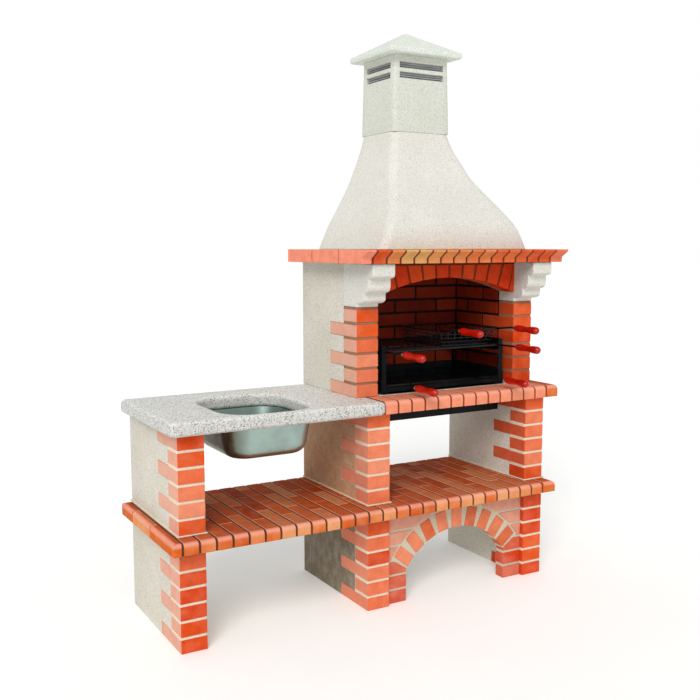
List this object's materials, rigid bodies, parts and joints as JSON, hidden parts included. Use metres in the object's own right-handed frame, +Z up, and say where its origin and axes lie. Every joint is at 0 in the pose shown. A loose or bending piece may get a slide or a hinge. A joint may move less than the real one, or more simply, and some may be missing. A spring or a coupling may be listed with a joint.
{
  "type": "outdoor masonry barbecue",
  "caption": "Free-standing garden barbecue of brick and cast concrete with a stone worktop and sink, arched log store, brick-lined firebox, pull-out grills, hood and chimney.",
  "frame": {"origin": "middle of the overall box on the floor under the barbecue", "axes": "+X to the right and +Y to the back for someone facing the barbecue, +Z up"},
  "size_m": [1.74, 0.7422, 2.3173],
  "materials": {
    "concrete": "washed cream-grey aggregate concrete, matt",
    "pale_concrete": "fine pale cast concrete, matt",
    "brick": "pressed orange-red facing brick with cream mortar, matt",
    "tile": "pressed salmon-red nosed tile with dark joints, matt",
    "cornice_tile": "pressed yellow-orange tile with dark joints, matt",
    "firebrick": "dark red-brown firebrick with soot, matt",
    "granite": "pale grey speckled granite, satin",
    "steel": "brushed pressed stainless steel",
    "black_steel": "black heat-proof painted sheet steel, satin",
    "wire": "dark grey plated steel wire, semi-gloss",
    "red_wood": "turned wood with glossy red lacquer"
  },
  "bodies": {
    "masonry": {"lower_left_quoins": "brick", "lower_left_panel": "concrete", "lower_centre_quoins": "brick", "lower_centre_panel": "concrete", "lower_right_quoins": "brick", "lower_right_panel": "concrete", "upper_left_quoins": "brick", "upper_left_panel": "concrete", "upper_centre_quoins": "brick", "upper_centre_panel": "concrete", "upper_right_quoins": "brick", "upper_right_panel": "concrete", "arch_ring": "brick", "arch_left_bricks": "brick", "arch_right_bricks": "brick", "arch_panel": "concrete", "shelf_slab": "concrete", "shelf_tiles": "tile", "shelf_left_end_bricks": "tile", "shelf_right_end_bricks": "tile", "worktop": "granite", "sink_bowl": "steel", "sink_waste": "steel", "ledge_slab": "concrete", "ledge_tiles": "tile", "ledge_end_bricks": "tile", "firebox_left_quoins": "brick", "firebox_left_panel": "concrete", "firebox_left_lining": "firebrick", "firebox_right_quoins": "brick", "firebox_right_panel": "concrete", "firebox_right_lining": "firebrick", "left_corbel": "pale_concrete", "right_corbel": "pale_concrete", "firebox_back_lining": "firebrick", "firebox_back_panel": "concrete", "lintel_bricks": "brick", "lintel_beam": "concrete", "cornice_front_tiles": "cornice_tile", "cornice_slab": "concrete", "cornice_left_bricks": "tile", "cornice_right_bricks": "tile", "hood": "pale_concrete", "chimney_stack": "pale_concrete", "chimney_cap": "pale_concrete", "insert_box": "black_steel", "insert_left_frame": "black_steel", "insert_right_frame": "black_steel"},
    "strainer": {"sink_strainer": "steel"},
    "tray": {"charcoal_tray": "black_steel", "tray_left_grip": "red_wood", "tray_right_grip": "red_wood"},
    "rack": {"grill_rack": "wire", "rack_left_grip": "red_wood", "rack_right_grip": "red_wood"},
    "basket": {"basket_grill": "wire", "basket_left_grip": "red_wood", "basket_right_grip": "red_wood"}
  },
  "joints": [
    {"name": "strainer_lift", "type": "slide", "parent": "masonry", "child": "strainer", "axis": [0, 0, 1], "range_m": [0, 0.1]},
    {"name": "tray_pull", "type": "slide", "parent": "masonry", "child": "tray", "axis": [0, -1, 0], "range_m": [0, 0.25]},
    {"name": "rack_pull", "type": "slide", "parent": "masonry", "child": "rack", "axis": [0, -1, 0], "range_m": [0, 0.25]},
    {"name": "basket_lift", "type": "slide", "parent": "rack", "child": "basket", "axis": [0, 0, 1], "range_m": [0, 0.1]}
  ]
}
